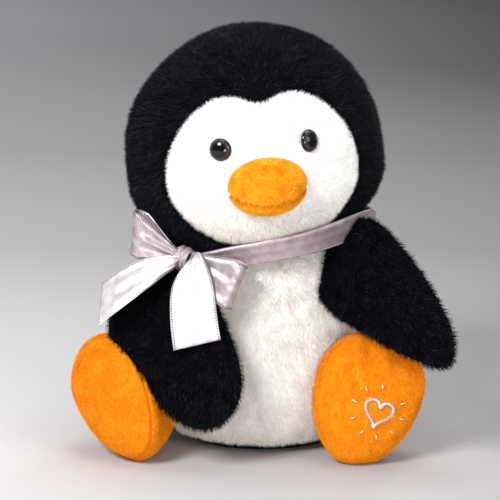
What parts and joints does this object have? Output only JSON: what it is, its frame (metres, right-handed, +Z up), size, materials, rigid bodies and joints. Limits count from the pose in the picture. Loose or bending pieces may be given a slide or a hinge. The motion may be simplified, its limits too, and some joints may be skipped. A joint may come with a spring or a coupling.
{
  "type": "plush penguin",
  "caption": "Seated plush penguin with a white face and belly, orange beak and feet, plastic eyes and a satin ribbon bow.",
  "frame": {"origin": "centre of the flat base, on the surface that the toy sits on", "axes": "+Z up, the face looks towards -Y, the penguin's own left side is +X"},
  "size_m": [0.191, 0.1655, 0.2148],
  "materials": {
    "black_plush": "soft",
    "white_plush": "soft",
    "fibre_fill": "soft",
    "orange_velour": "soft",
    "eye_plastic": "gloss",
    "washer_plastic": "matte",
    "pouch_cloth": "matte",
    "pellet_plastic": "matte",
    "label_cloth": "matte",
    "satin_ribbon": "satin",
    "silver_thread": "satin"
  },
  "bodies": {
    "torso": {"back_panel": "black_plush", "belly_panel": "white_plush", "base_panel": "black_plush", "body_stuffing": "fibre_fill", "bean_pouch": "pouch_cloth", "bean_pellets": "pellet_plastic", "care_label": "label_cloth", "ribbon_band": "satin_ribbon", "ribbon_knot": "satin_ribbon", "ribbon_loop_left": "satin_ribbon", "ribbon_loop_right": "satin_ribbon", "ribbon_tail_left": "satin_ribbon", "ribbon_tail_right": "satin_ribbon"},
    "head": {"hood": "black_plush", "face_panel": "white_plush", "head_stuffing": "fibre_fill", "beak_upper": "orange_velour", "beak_lower": "orange_velour", "beak_stuffing": "fibre_fill", "eye_left": "eye_plastic", "eye_right": "eye_plastic", "eye_washer_left": "washer_plastic", "eye_washer_right": "washer_plastic"},
    "flipper_left": {"flipper_left_outer": "black_plush", "flipper_left_inner": "black_plush", "flipper_left_stuffing": "fibre_fill"},
    "foot_left": {"foot_left_sole": "orange_velour", "foot_left_top": "orange_velour", "foot_left_stuffing": "fibre_fill", "foot_left_motif": "silver_thread"},
    "flipper_right": {"flipper_right_outer": "black_plush", "flipper_right_inner": "black_plush", "flipper_right_stuffing": "fibre_fill"},
    "foot_right": {"foot_right_sole": "orange_velour", "foot_right_top": "orange_velour", "foot_right_stuffing": "fibre_fill"}
  },
  "joints": [
    {"name": "neck_turn", "type": "hinge", "parent": "torso", "child": "head", "pos_m": [0, 0, 0.104], "axis": [-0.0872, 0, 0.9962], "range_deg": [-25, 25], "stiffness_Nm_per_rad": 0.25},
    {"name": "flipper_left_wave", "type": "hinge", "parent": "torso", "child": "flipper_left", "pos_m": [0.046, -0.047, 0.102], "axis": [-0.4022, -0.829, 0.3884], "range_deg": [-2, 45], "stiffness_Nm_per_rad": 0.08},
    {"name": "flipper_right_wave", "type": "hinge", "parent": "torso", "child": "flipper_right", "pos_m": [-0.044, -0.054, 0.082], "axis": [-0.3188, -0.889, 0.3288], "range_deg": [0, 18], "stiffness_Nm_per_rad": 0.08},
    {"name": "foot_left_swing", "type": "hinge", "parent": "torso", "child": "foot_left", "pos_m": [0.05096, -0.04921, 0.022], "axis": [0, 0, 1], "range_deg": [-3, 35], "stiffness_Nm_per_rad": 0.08},
    {"name": "foot_right_swing", "type": "hinge", "parent": "torso", "child": "foot_right", "pos_m": [-0.05873, -0.03961, 0.022], "axis": [0, 0, 1], "range_deg": [-22, 0], "stiffness_Nm_per_rad": 0.08}
  ]
}
